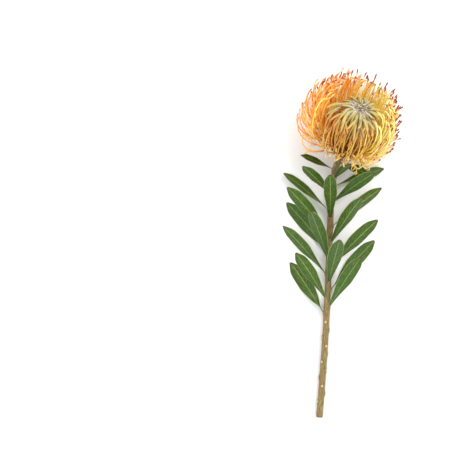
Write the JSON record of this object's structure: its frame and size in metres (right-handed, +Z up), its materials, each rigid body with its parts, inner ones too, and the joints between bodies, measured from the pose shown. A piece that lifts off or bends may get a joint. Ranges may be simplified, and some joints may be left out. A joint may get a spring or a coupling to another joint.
{
  "type": "pincushion protea flower",
  "caption": "Cut pincushion protea lying down: a woody leafy stem whose bent neck lifts a round head of wiry yellow-orange styles around a pale green dome.",
  "frame": {"origin": "middle of the flower's footprint, on the surface it lies on", "axes": "+Z up from the surface, +Y along the stem from its cut end to the flower head, +X to the right"},
  "size_m": [0.1225, 0.3738, 0.0874],
  "materials": {
    "stem": "matte",
    "receptacle": "matte",
    "closed_floret": "matte",
    "floret": "satin",
    "bract": "matte",
    "leaf": "satin"
  },
  "bodies": {
    "root": {"stem": "stem", "receptacle": "receptacle", "crown_florets": "closed_floret", "floret_row_01": "floret", "floret_row_02": "floret", "floret_row_03": "floret", "floret_row_04": "floret", "floret_row_05": "floret", "floret_row_06": "floret", "floret_row_07": "floret", "floret_row_08": "floret", "floret_row_09": "floret", "floret_row_10": "floret", "floret_row_11": "floret", "floret_row_12": "floret", "floret_row_13": "floret", "floret_row_14": "floret", "floret_row_15": "floret", "floret_row_16": "floret", "floret_row_17": "floret", "floret_row_18": "floret", "floret_row_19": "floret", "floret_row_20": "floret", "floret_row_21": "floret", "bract_01": "bract", "bract_02": "bract", "bract_03": "bract", "bract_04": "bract", "bract_05": "bract", "bract_06": "bract", "bract_07": "bract", "bract_08": "bract", "bract_09": "bract", "bract_10": "bract", "bract_11": "bract", "bract_12": "bract", "bract_13": "bract", "leaf_01": "leaf", "leaf_02": "leaf", "leaf_03": "leaf", "leaf_04": "leaf", "leaf_05": "leaf", "leaf_06": "leaf", "leaf_07": "leaf", "leaf_08": "leaf", "leaf_09": "leaf", "leaf_10": "leaf", "leaf_11": "leaf", "leaf_12": "leaf", "leaf_13": "leaf", "leaf_14": "leaf", "leaf_15": "leaf", "leaf_16": "leaf", "leaf_17": "leaf", "leaf_18": "leaf", "leaf_19": "leaf", "leaf_20": "leaf"}
  },
  "joints": []
}
